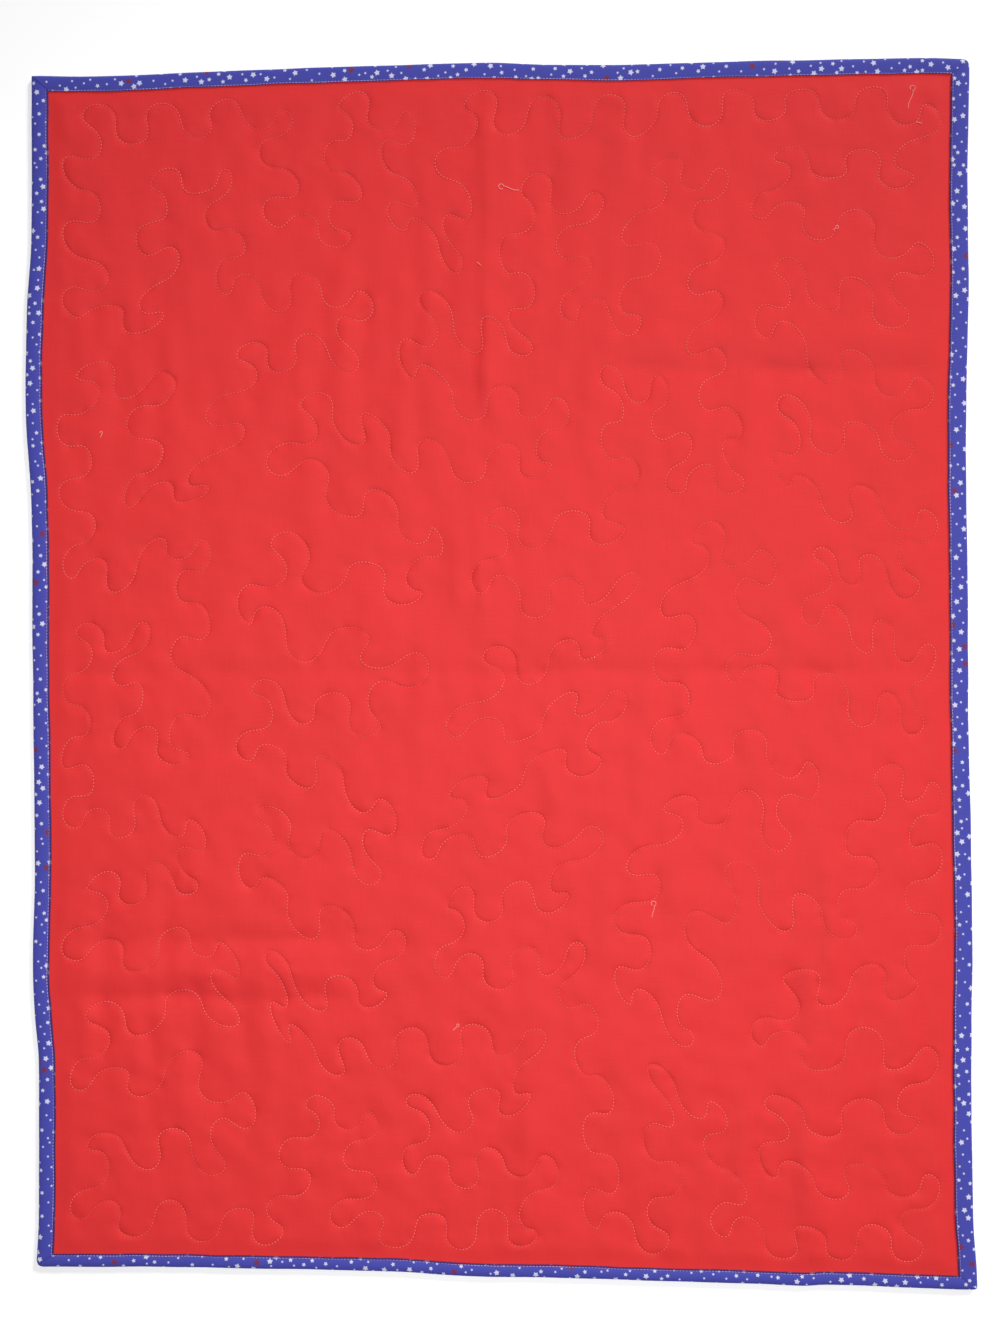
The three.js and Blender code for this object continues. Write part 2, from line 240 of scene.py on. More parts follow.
# goes once round the tree, through the four lattice points of every cell
def walkRound(tree):
    linked = set(tree) | {(end, start) for start, end in tree}

    def neighbours(x, y):
        cell = (y >> 1) * columns + (x >> 1)
        outX, outY = (1 if x % 2 else -1), (1 if y % 2 else -1)
        sideways = (x + outX, y) if (cell, cell + outX) in linked else (x, y ^ 1)
        upright = (x, y + outY) if (cell, cell + outY * columns) in linked else (x ^ 1, y)
        return sideways, upright
    path, before = [(0, 0)], (1, 0)
    while len(path) < 4 * cellCount:
        first, second = neighbours(*path[-1])
        step = second if first == before else first
        before = path[-1]
        path.append(step)
    return path


# turning points of the line on the field's grid, with a hand's shift
def sewnKnots(path, random):
    def eitherWay(most):
        return (random() * 2 - 1) * most
    knots = []
    for k, (x, y) in enumerate(path):
        nextX, nextY = path[(k + 1) % len(path)]
        aheadI, aheadJ = nextX - x, nextY - y
        shapes = []
        for _ in range(2):
            size = mix(quilting["smallestLobe"], 1, random())
            shapes.append((size, eitherWay(quilting["lobeLean"])))
        for along, left in quilting["lobes"]:
            size, lean = shapes[left < 0]
            far, out = along + (lean if left else 0), left * size
            i = quilting["stepCells"] * (x + 0.5) + far * aheadI - out * aheadJ
            j = quilting["stepCells"] * (y + 0.5) + far * aheadJ + out * aheadI
            i += eitherWay(quilting["handJitter"])
            j += eitherWay(quilting["handJitter"])
            knots.append((i, j))
    return np.array(knots)


# grid places to places on the cut cloth, with the drifts
def gridSpot(knots):
    gridSize = 2 * quilting["stepCells"] * np.array([columns, rows])
    s, t = (knots / gridSize).T
    calm = 1
    for share in (s, t):
        calm = calm * np.clip(np.minimum(share, 1 - share) / quilting["calmShare"], 0, 1)
    drift = 0
    for size, *waves in quilting["drifts"]:
        swayed = [np.sin(along * t + across * s + start) for along, across, start in waves]
        drift = drift + size * calm * np.array(swayed)
    acrossShare, alongShare = (knots.T + drift) / gridSize[:, None]
    return np.stack([mix(fieldLeft, fieldRight, acrossShare), mix(fieldBottom, fieldTop, alongShare)], 1)


# the quilting line on the cut cloth, as close points in the order that it is sewn
def quiltingLine():
    random = makeRandom(quilting["seed"])
    tree, spare = randomTree(random)
    addTurns(tree, spare, random)
    knots = gridSpot(sewnKnots(walkRound(tree), random))
    p0, p1, p2, p3 = (np.roll(knots, 1 - k, 0)[:, None] for k in range(4))
    u = np.linspace(0, 1, quilting["samplesPerKnot"], endpoint=False)[None, :, None]
    leave, arrive = (p2 - p0) / 2, (p3 - p1) / 2
    cubic = 2 * p1 - 2 * p2 + leave + arrive
    square = -3 * p1 + 3 * p2 - 2 * leave - arrive
    line = (cubic * u ** 3 + square * u ** 2 + leave * u + p1).reshape(-1, 2)
    # a hand turns in smooth arcs
    reach = quilting["roundingReach"]
    for _ in range(quilting["roundingPasses"]):
        line = sum(np.roll(line, k, 0) for k in range(-reach, reach + 1)) / (2 * reach + 1)
    return line


# points along a closed line, at an even spacing
def evenly(line, spacing):
    closed = np.concatenate([line, line[:1]])
    run = np.concatenate([[0], np.cumsum(np.linalg.norm(np.diff(closed, axis=0), axis=1))])
    places = np.linspace(0, run[-1], round(run[-1] / spacing), endpoint=False)
    return np.stack([np.interp(places, run, column) for column in closed.T], 1)


seamLine = evenly(quiltingLine(), quilting["lineSpacing"])
seamTree = kdtree.KDTree(len(seamLine))
for k, (a, b) in enumerate(seamLine):
    seamTree.insert((a, b, 0), k)
seamTree.balance()
print("quilting line:", round(len(seamLine) * quilting["lineSpacing"] * mm, 1), "m")


# a node with its settings, and inputs that are either values or the sockets that feed them
def addNode(tree, kind, inputs=None, **settings):
    node = tree.nodes.new(kind)
    for name, value in settings.items():
        setattr(node, name, value)
    for name, value in (inputs or {}).items():
        if isinstance(value, bpy.types.NodeSocket):
            tree.links.new(value, node.inputs[name])
        else:
            node.inputs[name].default_value = value
    return node


# sRGB hex to the linear colour that shaders take
def linear(hexColour):
    channels = [int(hexColour[i:i + 2], 16) / 255 for i in (1, 3, 5)]
    return tuple(c / 12.92 if c <= 0.04045 else ((c + 0.055) / 1.055) ** 2.4 for c in channels) + (1,)


def newMaterial(name):
    material = bpy.data.materials.new(name)
    material.use_nodes = True
    material.node_tree.nodes.clear()
    return material, material.node_tree


# plain-woven cotton: dull, with faint slubs along both threads and a little fuzz that lifts grazing light
cotton = {
    "weaveSpacing": 2.6,  # real threads are 0.35 mm apart, drawn coarser so that they show
    "slubWidth": 1.6,  # real slubs are about 0.5 mm wide, drawn coarser too
    "slubLength": 22,
    "mottle": 130,
    "slubStrength": 0.1,
    "mottleStrength": 0.09,
    "weaveHeight": 0.05,
    "weaveStrength": 0.5,
    "roughness": 0.68,
    "gloss": 0.35,
    "sheen": 0.12,
    "sheenRoughness": 0.5,
}


# the shade of woven cotton: how light or dark it is from place to place, and its height
def cottonTexture(tree, vector):
    shades = []
    size = [1 / (cotton["slubLength"] * mm), 1 / (cotton["slubWidth"] * mm)]
    for turn in (0, 1):
        scale = (size[turn], size[1 - turn], 1)
        stretched = addNode(tree, "ShaderNodeMapping", {"Vector": vector, "Scale": scale})
        slub = addNode(tree, "ShaderNodeTexNoise", {
            "Vector": stretched.outputs[0], "Scale": 1, "Detail": 2})
        shades.append(slub.outputs["Fac"])
    slubs = addNode(tree, "ShaderNodeMath", {0: shades[0], 1: shades[1]}, operation="ADD")
    cloud = addNode(tree, "ShaderNodeTexNoise", {
        "Vector": vector, "Scale": 1 / (cotton["mottle"] * mm), "Detail": 3})
    slubShade = addNode(tree, "ShaderNodeMath", {
        0: slubs.outputs[0], 1: cotton["slubStrength"], 2: 1 - cotton["slubStrength"]},
        operation="MULTIPLY_ADD")
    cloudShade = addNode(tree, "ShaderNodeMath", {
        0: cloud.outputs["Fac"], 1: cotton["mottleStrength"], 2: 1 - cotton["mottleStrength"] / 2},
        operation="MULTIPLY_ADD")
    shade = addNode(tree, "ShaderNodeMath", {
        0: slubShade.outputs[0], 1: cloudShade.outputs[0]}, operation="MULTIPLY")
    place = addNode(tree, "ShaderNodeSeparateXYZ", {"Vector": vector})
    waves = []
    for axis in "XY":
        turns = addNode(tree, "ShaderNodeMath", {
            0: place.outputs[axis], 1: 2 * math.pi / (cotton["weaveSpacing"] * mm)}, operation="MULTIPLY")
        wave = addNode(tree, "ShaderNodeMath", {0: turns.outputs[0]}, operation="SINE")
        waves.append(wave.outputs[0])
    weave = addNode(tree, "ShaderNodeMath", {0: waves[0], 1: waves[1]}, operation="MULTIPLY")
    height = addNode(tree, "ShaderNodeMath", {0: weave.outputs[0], 1: slubs.outputs[0]}, operation="ADD")
    return shade.outputs[0], height.outputs[0]


def clothShader(tree, colour, height):
    bump = addNode(tree, "ShaderNodeBump", {
        "Height": height, "Strength": cotton["weaveStrength"], "Distance": cotton["weaveHeight"] * mm})
    shader = addNode(tree, "ShaderNodeBsdfPrincipled", {
        "Base Color": colour, "Normal": bump.outputs[0], "Roughness": cotton["roughness"],
        "Specular IOR Level": cotton["gloss"], "Sheen Weight": cotton["sheen"],
        "Sheen Roughness": cotton["sheenRoughness"]})
    addNode(tree, "ShaderNodeOutputMaterial", {"Surface": shader.outputs[0]})


redDyeAndShade = {
    "red": "#ea2b2d",
    "paintedSeamShade": 0.9,  # painted shade in the groove of the quilting line: how dark at the line, and how far from it the cloth is painted darker
    "seamReach": 1.3,
}


# piece-dyed red quilting cotton: one strong red, a little cloudy from washing,
# with painted shade in the groove along the quilting line
def redCottonMaterial():
    material, tree = newMaterial("redQuiltingCotton")
    coords = addNode(tree, "ShaderNodeTexCoord")
    shade, height = cottonTexture(tree, coords.outputs["Object"])
    seam = addNode(tree, "ShaderNodeAttribute", attribute_name="fromSeam")
    # painted shade: the cloth darker in the groove along the quilting line, fading out away from it
    paintedGrooveShade = addNode(tree, "ShaderNodeMapRange", {
        "Value": seam.outputs["Fac"], "From Min": 0, "From Max": redDyeAndShade["seamReach"],
        "To Min": redDyeAndShade["paintedSeamShade"], "To Max": 1})
    toneWithPaintedShade = addNode(tree, "ShaderNodeMath", {0: shade, 1: paintedGrooveShade.outputs[0]}, operation="MULTIPLY")
    tint = addNode(tree, "ShaderNodeVectorMath", {
        0: linear(redDyeAndShade["red"])[:3], "Scale": toneWithPaintedShade.outputs[0]}, operation="SCALE")
    clothShader(tree, tint.outputs[0], height)
    return material


starPrint = {
    "spacing": 9.2,
    "scatter": 0.55,
    "turn": math.radians(28),  # the strip is cut across the print's rows
    "smallRadius": 1.2,
    "largeRadius": 2.8,
    "sizeSteps": 2,  # between the small and the large radius
    "smallBias": 1.6,  # small stars are commoner than large ones
    "redRadius": 3.5,
    "slant": math.radians(57),  # plump stars
    "blur": 0.22,  # the edge that screen printing leaves
    "redShare": 0.045,
    "blue": "#4447af",
    "white": "#dddcf8",
    "dullRed": "#7d2c55",
    "hemShade": "#3d1650",  # the lip beyond the stitches, in its own shadow and red light from the cloth
    "hemShare": 0.85,  # how far that shade covers the print
    "hemReach": (0.7, 0.1),  # from the stitches to where that shade is full and where it starts
    "hemLine": 3,  # where the stitches run, across the strip
    "paintedRimShade": 0.72,  # painted shade where the outer fold turns down from the light, and how far it reaches
    "rimReach": 1.8,
}


# screen-printed blue cotton: small white stars of a few sizes, and now and then a dull red one,
# with painted shade on the lip beyond the stitches and along the outer fold
def starCottonMaterial():
    material, tree = newMaterial("starPrintedCotton")
    strip = addNode(tree, "ShaderNodeUVMap", uv_map="strip")
    shade, height = cottonTexture(tree, strip.outputs[0])
    cloth = addNode(tree, "ShaderNodeVectorRotate", {
        "Vector": strip.outputs[0], "Angle": starPrint["turn"]}, rotation_type="Z_AXIS")
    cells = addNode(tree, "ShaderNodeTexVoronoi", {
        "Vector": cloth.outputs[0], "Scale": 1 / (starPrint["spacing"] * mm),
        "Randomness": starPrint["scatter"]}, voronoi_dimensions="2D")
    chance = addNode(tree, "ShaderNodeSeparateColor", {"Color": cells.outputs["Color"]})
    local = addNode(tree, "ShaderNodeVectorMath", {
        0: cloth.outputs[0], 1: cells.outputs["Position"]}, operation="SUBTRACT")
    angle = addNode(tree, "ShaderNodeMath", {0: chance.outputs[0], 1: 2 * math.pi}, operation="MULTIPLY")
    turned = addNode(tree, "ShaderNodeVectorRotate", {
        "Vector": local.outputs[0], "Angle": angle.outputs[0]}, rotation_type="Z_AXIS")
    spot = addNode(tree, "ShaderNodeSeparateXYZ", {"Vector": turned.outputs[0]})
    bearing = addNode(tree, "ShaderNodeMath", {
        0: spot.outputs[1], 1: spot.outputs[0]}, operation="ARCTAN2")
    # folded into one tenth of the star, whose edge there is one straight line
    folded = addNode(tree, "ShaderNodeMath", {
        0: bearing.outputs[0], 1: math.pi / 5}, operation="PINGPONG")
    slant = starPrint["slant"]
    edgeShare = mm * math.cos(slant)  # from a star's radius to how far in that line runs
    lean = addNode(tree, "ShaderNodeMath", {0: folded.outputs[0], 1: slant}, operation="SUBTRACT")
    cosine = addNode(tree, "ShaderNodeMath", {0: lean.outputs[0]}, operation="COSINE")
    far = addNode(tree, "ShaderNodeVectorMath", {0: local.outputs[0]}, operation="LENGTH")
    reach = addNode(tree, "ShaderNodeMath", {
        0: far.outputs["Value"], 1: cosine.outputs[0]}, operation="MULTIPLY")
    bias = addNode(tree, "ShaderNodeMath", {
        0: chance.outputs[1], 1: starPrint["smallBias"]}, operation="POWER")
    white = addNode(tree, "ShaderNodeMapRange", {
        "Value": bias.outputs[0], "To Min": starPrint["smallRadius"] * edgeShare,
        "To Max": starPrint["largeRadius"] * edgeShare, "Steps": starPrint["sizeSteps"]},
        interpolation_type="STEPPED")
    isRed = addNode(tree, "ShaderNodeMath", {
        0: chance.outputs[2], 1: 1 - starPrint["redShare"]}, operation="GREATER_THAN")
    size = addNode(tree, "ShaderNodeMix", {
        0: isRed.outputs[0], 2: white.outputs[0], 3: starPrint["redRadius"] * edgeShare})
    inside = addNode(tree, "ShaderNodeMath", {
        0: size.outputs[0], 1: reach.outputs[0]}, operation="SUBTRACT")
    blur = starPrint["blur"] * mm
    star = addNode(tree, "ShaderNodeMapRange", {
        "Value": inside.outputs[0], "From Min": -blur, "From Max": blur})
    ink = addNode(tree, "ShaderNodeMix", {
        0: isRed.outputs[0], 6: linear(starPrint["white"]), 7: linear(starPrint["dullRed"])},
        data_type="RGBA")
    printed = addNode(tree, "ShaderNodeMix", {
        0: star.outputs[0], 6: linear(starPrint["blue"]), 7: ink.outputs[2]}, data_type="RGBA")
    across = addNode(tree, "ShaderNodeSeparateXYZ", {"Vector": strip.outputs[0]})
    shadeFull, shadeStart = ((starPrint["hemLine"] - back) * mm for back in starPrint["hemReach"])
    lip = addNode(tree, "ShaderNodeMapRange", {
        "Value": across.outputs[1], "From Min": shadeFull, "From Max": shadeStart,
        "To Min": starPrint["hemShare"], "To Max": 0})
    shaded = addNode(tree, "ShaderNodeMix", {
        0: lip.outputs[0], 6: printed.outputs[2], 7: linear(starPrint["hemShade"])}, data_type="RGBA")
    # painted shade: darker along the outer fold, where it turns down
    fold = addNode(tree, "ShaderNodeAttribute", attribute_name="fromFold")
    rim = addNode(tree, "ShaderNodeMapRange", {
        "Value": fold.outputs["Fac"], "From Min": 0, "From Max": starPrint["rimReach"],
        "To Min": starPrint["paintedRimShade"], "To Max": 1})
    toneWithPaintedShade = addNode(tree, "ShaderNodeMath", {0: shade, 1: rim.outputs[0]}, operation="MULTIPLY")
    tint = addNode(tree, "ShaderNodeVectorMath", {
        0: shaded.outputs[2], "Scale": toneWithPaintedShade.outputs[0]}, operation="SCALE")
    clothShader(tree, tint.outputs[0], height)
    return material


sewingThread = {
    "quilting": "#ff746c",
    "binding": "#dcb8e4",
    "tail": "#ffaba2",
    "twist": 1.2,
    "shades": (0.85, 1.1),
    "roughness": 0.55,
    "gloss": 0.35,
    "sheen": 0.2,
}


# spun polyester sewing thread: smooth, with a soft shine along each stitch
def threadMaterial(name, hexColour):
    material, tree = newMaterial(name)
    coords = addNode(tree, "ShaderNodeTexCoord")
    twist = addNode(tree, "ShaderNodeTexNoise", {
        "Vector": coords.outputs["Object"], "Scale": 1 / (sewingThread["twist"] * mm)})
    darkest, lightest = sewingThread["shades"]
    shade = addNode(tree, "ShaderNodeMapRange", {
        "Value": twist.outputs["Fac"], "To Min": darkest, "To Max": lightest})
    tint = addNode(tree, "ShaderNodeVectorMath", {
        0: linear(hexColour)[:3], "Scale": shade.outputs[0]}, operation="SCALE")
    shader = addNode(tree, "ShaderNodeBsdfPrincipled", {
        "Base Color": tint.outputs[0], "Roughness": sewingThread["roughness"],
        "Specular IOR Level": sewingThread["gloss"], "Sheen Weight": sewingThread["sheen"]})
    addNode(tree, "ShaderNodeOutputMaterial", {"Surface": shader.outputs[0]})
    return material


card = {"white": "#fafafa", "roughness": 0.95, "glow": 0.3}


# matt white card under the quilt: bright and even, so that the floor falls away
def floorMaterial():
    material, tree = newMaterial("mattWhiteCard")
    shader = addNode(tree, "ShaderNodeBsdfPrincipled", {
        "Base Color": linear(card["white"]), "Roughness": card["roughness"],
        "Emission Color": (1, 1, 1, 1), "Emission Strength": card["glow"]})
    addNode(tree, "ShaderNodeOutputMaterial", {"Surface": shader.outputs[0]})
    return material


redCotton = redCottonMaterial()
starCotton = starCottonMaterial()
quiltingThread = threadMaterial("redQuiltingThread", sewingThread["quilting"])
bindingThread = threadMaterial("paleBindingThread", sewingThread["binding"])
tailThread = threadMaterial("paleRedThreadEnd", sewingThread["tail"])
print("materials made")


# a mesh object at the origin, from points in millimetres
def makePiece(name, points, faces, material, uvs=None):
    mesh = bpy.data.meshes.new(name)
    mesh.from_pydata((np.asarray(points) * mm).tolist(), [], faces)
    mesh.polygons.foreach_set("use_smooth", [True] * len(mesh.polygons))
    mesh.materials.append(material)
    if uvs is not None:
        layer = mesh.uv_layers.new(name="strip")
        corners = np.zeros(len(mesh.loops), np.int32)
        mesh.loops.foreach_get("vertex_index", corners)
        layer.data.foreach_set("uv", (np.asarray(uvs)[corners] * mm).ravel())
    mesh.update()
    piece = bpy.data.objects.new(name, mesh)
    bpy.context.scene.collection.objects.link(piece)
    return piece


# a value for each point of a piece, for its material to read
def setValues(piece, name, values):
    piece.data.attributes.new(name, "FLOAT", "POINT").data.foreach_set("value", values)


# red cotton over thin wadding: puffed between the quilting lines, creased from storage
redCloth = {
    "cell": 5,
    "seamRows": (1.1, 2.8),  # rows of closer points beside the quilting line
    "seamSpacing": 2.7,
    "seamClearance": 4.6,  # from the line to the first points of the grid
    "rowShare": 0.95,  # a point is left out if the line comes nearer than this share of its row
    "mergeReach": 1e-5,
    "edgeInset": 3.2,  # the cloth ends inside the folded binding
    "edgeHeight": 3.5,
    "edgeSettle": 18,
    "stitchHeight": 3.7,
    "dentDepth": 0.85,
    "dentReach": 1.15,
    "dentShape": 1.5,
    "slackShare": 0.75,  # of the dent, lost where the thread is slack
    "puffRise": 0.4,
    "puffReach": 12,
    "puckerReach": 8,
    "streakLevel": 0.4,
    "streakStretch": 6,  # streaks run along the quilt's length
    "creaseEnds": 45,  # length over which a crease fades in and out
    "creaseShape": 1.4,
    "underHeight": 1.4,
    "underBevel": 2.6,
    "underFromSeam": 99,  # the underside has no quilting line
}
# where that cloth is uneven: wavelength, size, noise seed
clothWaves = {
    "slow": (150, 0.5, 5.2),
    "wrinkle": (21, 0.8, 7.7),
    "pucker": (9, 0.8, 2.3),
    "streak": (19, 1.5, 8.3),
    "streakPatch": (190, 1.6, 4.9),  # streaks come and go
    "slack": (48, 1.4, 6.1),  # the thread pulls tight and slack
    "puff": (60, 0.4, 1.7),
    "creaseWander": (55, 4, 3.1),
    "creaseStrength": (55, 0.7, 9.4),
}
# creases of the lying quilt: start x and y, end x and y, how far they slope to the left and right of that
# way, and rise (a trough below 0)
creases = [
    (-416, -247, -120, -247, 14, 10, -1.7),
    (-416, -276, -92, -277, 13, 12, 1.7),
    (-416, -298, -110, -298, 9, 9, -1.7),
    (60, 311, 416, 309, 12, 20, 0.9),
    (90, 281, 416, 279, 8, 14, -2.2),
    (180, 326, 330, 322, 7, 7, 0.6),
    (-412, 0, 60, 0, 9, 8, -1.0),
    (0, 2, 412, 3, 8, 9, -1.8),
    (-11.6, 548, -16, 225, 14, 7, 2.5),
    (-20, 168, -19, 25, 8, 8, 2.2),
    (-42, 160, -41, 30, 14, 8, 1.6),
    (-1, -25, -1, -99, 10, 7, 1.1),
    (23, -321, 23, -545, 22, 12, 1.8),
    (266, -250, 266, -545, 10, 24, -1.3),
    (284, -250, 285, -545, 14, 9, 1.1),
    (300, -140, 304, -300, 14, 9, 1.8),
    (27, -25, 55, -145, 9, 8, 1.3),
    (175, 142, 175, 50, 9, 8, 1.2),
    (226, -25, 226, -117, 9, 8, 1.3),
    (156, 295, 295, 281, 6, 6, -0.9),
    (249, 318, 323, 327, 6, 6, -0.8),
    (258, 258, 323, 244, 6, 7, 0.9),
    (342, 290, 407, 286, 6, 6, -0.9),
    (277, -330, 279, -545, 6, 14, 1.4),
]


def clothWave(name, a, b):
    wavelength, size, seed = clothWaves[name]
    return size * unevenness(a, b, wavelength, seed)


def creaseRise(x, y):
    rise = np.zeros(len(x))
    wander = clothWave("creaseWander", x, y)
    strength = 1 + clothWave("creaseStrength", x, y)
    fade, shape = redCloth["creaseEnds"], redCloth["creaseShape"]
    for startX, startY, endX, endY, leftSide, rightSide, height in creases:
        run = math.hypot(endX - startX, endY - startY)
        stepX, stepY = (endX - startX) / run, (endY - startY) / run
        along = (x - startX) * stepX + (y - startY) * stepY
        aside = (y - startY) * stepX - (x - startX) * stepY + wander
        reach = np.where(aside > 0, leftSide, rightSide)
        ends = smooth(along / fade) * smooth((run - along) / fade)
        rise += height * strength * ends * np.exp(-(np.abs(aside) / reach) ** shape)
    return rise


def redHeight(a, b, fromSeam):
    tight = 1 - redCloth["slackShare"] * smooth(0.5 + clothWave("slack", a, b))
    dent = 1 - tight * np.exp(-(fromSeam / redCloth["dentReach"]) ** redCloth["dentShape"])
    puff = 1 - np.exp(-(fromSeam / redCloth["puffReach"]) ** 2)
    height = redCloth["stitchHeight"] + redCloth["dentDepth"] * dent
    height = height + redCloth["puffRise"] * puff * (1 + clothWave("puff", a, b))
    near = np.exp(-fromSeam / redCloth["puckerReach"])
    height = height + clothWave("slow", a, b) + clothWave("wrinkle", a, b)
    height = height + near * clothWave("pucker", a, b)
    streaky = smooth(redCloth["streakLevel"] + clothWave("streakPatch", a, b))
    height = height + streaky * clothWave("streak", a, b / redCloth["streakStretch"])
    height = height + creaseRise(*layCloth(a, b))
    fromEdge = np.minimum.reduce([a - fieldLeft, fieldRight - a, b - fieldBottom, fieldTop - b])
    return mix(redCloth["edgeHeight"], height, smooth(fromEdge / redCloth["edgeSettle"]))


def nearestSeam(places):
    return np.array([seamTree.find((a, b, 0))[2] for a, b in places])


# places on the cut cloth: its rim, a grid, and rows that follow the quilting line
def clothPlaces():
    reachA, reachB = halfWidth - redCloth["edgeInset"], halfLength - redCloth["edgeInset"]
    lineA, lineB = (
        np.linspace(-reach, reach, round(2 * reach / redCloth["cell"]) + 1) for reach in (reachA, reachB))
    rim = [(a, -reachB) for a in lineA[:-1]] + [(reachA, b) for b in lineB[:-1]]
    rim += [(a, reachB) for a in lineA[:0:-1]] + [(-reachA, b) for b in lineB[:0:-1]]
    grid = np.stack(np.meshgrid(lineA[1:-1], lineB[1:-1]), -1).reshape(-1, 2)
    sewn = evenly(seamLine, redCloth["seamSpacing"])
    ahead = np.roll(sewn, -1, 0) - np.roll(sewn, 1, 0)
    aside = np.stack([-ahead[:, 1], ahead[:, 0]], 1) / np.linalg.norm(ahead, axis=1)[:, None]
    parts = [np.array(rim), grid[nearestSeam(grid) > redCloth["seamClearance"]], sewn]
    for reach in redCloth["seamRows"]:
        for row in (sewn + reach * aside, sewn - reach * aside):
            parts.append(row[nearestSeam(row) > redCloth["rowShare"] * reach])
    return len(rim), np.concatenate(parts)


def makeRedCloth():
    rimCount, places = clothPlaces()
    spots = [Vector(place) for place in places]
    _, _, faces, sources, _, _ = delaunay_2d_cdt(spots, [], [], 0, redCloth["mergeReach"])
    places = places[[numbers[0] for numbers in sources]]
    a, b = places.T
    fromSeam = nearestSeam(places)
    x, y = layCloth(a, b)
    top = np.stack([x, y, redHeight(a, b, fromSeam)], 1)
    upper = BVHTree.FromPolygons((top * mm).tolist(), faces)
    # the edge turns down inside the binding, and the underside lies flat
    rim = np.arange(rimCount)
    under = top[rim].copy()
    under[:, 2] = redCloth["underHeight"]
    bevel = redCloth["underBevel"]
    flatX, flatY = layCloth(
        np.clip(a[rim], fieldLeft + bevel, fieldRight - bevel),
        np.clip(b[rim], fieldBottom + bevel, fieldTop - bevel))
    flat = np.stack([flatX, flatY, np.zeros(rimCount)], 1)
    loops = [rim, len(top) + rim, len(top) + rimCount + rim]
    for upperLoop, lowerLoop in zip(loops, loops[1:]):
        ahead, aheadLower = np.roll(upperLoop, -1), np.roll(lowerLoop, -1)
        faces += np.stack([upperLoop, lowerLoop, aheadLower, ahead], 1).tolist()
    faces.append(loops[2][::-1].tolist())
    piece = makePiece("redQuiltedCloth", np.concatenate([top, under, flat]), faces, redCotton)
    underside = np.full(2 * rimCount, redCloth["underFromSeam"])
    setValues(piece, "fromSeam", np.concatenate([fromSeam, underside]))
    return piece, upper


redPiece, redSurface = makeRedCloth()
print("red cloth:", len(redPiece.data.polygons), "faces")

# folded strip of printed cotton on each edge, mitred at the corners
binding = {
    "station": 3,
    "cornerStation": 0.7,
    "cornerLength": 16,
    "mitreGap": 0.03,
    "mitreDip": {  # at each strip's two ends
        "bottom": (0.7, 0.2), "right": (0.2, 0.25), "top": (0.25, 0), "left": (0, 0.7),
    },
    "mitreReach": 2.5,
    "edgeRipple": (46, 0.5, 0.3),  # wavelength, size, noise seed
    "hemRipple": (30, 0.5, 4.6),
    "puff": (14, 0.3, 8.8),
    "puffFrom": (4, 0.5),  # height where the puff sets in, and the rise over which it does
    "stitchInset": {"bottom": 1.7, "right": 1.9, "top": 0.6, "left": 2.1},
    "stitchPoint": 4,  # points of the section at the stitches and at the outer fold
    "foldPoint": 11,
    "printShift": 977,  # along the print, from one strip to the next
    "hemStart": 0.9,  # of the next strip's width, where the stitches begin and end
    "hemSpacing": 2.0,
}
edges = {
    "bottom": (quilt["width"], "left", "right", lambda s, d: (s - halfWidth, d - halfLength)),
    "right": (quilt["length"], "bottom", "top", lambda s, d: (halfWidth - d, s - halfLength)),
    "top": (quilt["width"], "right", "left", lambda s, d: (halfWidth - s, halfLength - d)),
    "left": (quilt["length"], "top", "bottom", lambda s, d: (d - halfWidth, halfLength - s)),
}


# section of the folded strip: distance in from the cut edge, and height
def stripSection(width, inset):
    sewn = width - inset
    return np.array([
        (width, 3.7), (width + 0.15, 4.2), (width - 0.15, 4.65), (width - inset / 2, 4.72), (sewn, 4.45),
        (sewn - 1.2, 4.85), (width * 0.62, 5.1), (width * 0.42, 5.15), (3.4, 4.95), (1.6, 4.5), (0.5, 3.6),
        (0, 2.5), (0.4, 1.3), (1.4, 0.4), (3, 0.02), (width * 0.5, 0), (width - 0.3, 0),
        (width - 0.3, 0.9), (2.4, 1), (1.4, 2.5), (2.4, 3.9),
    ])


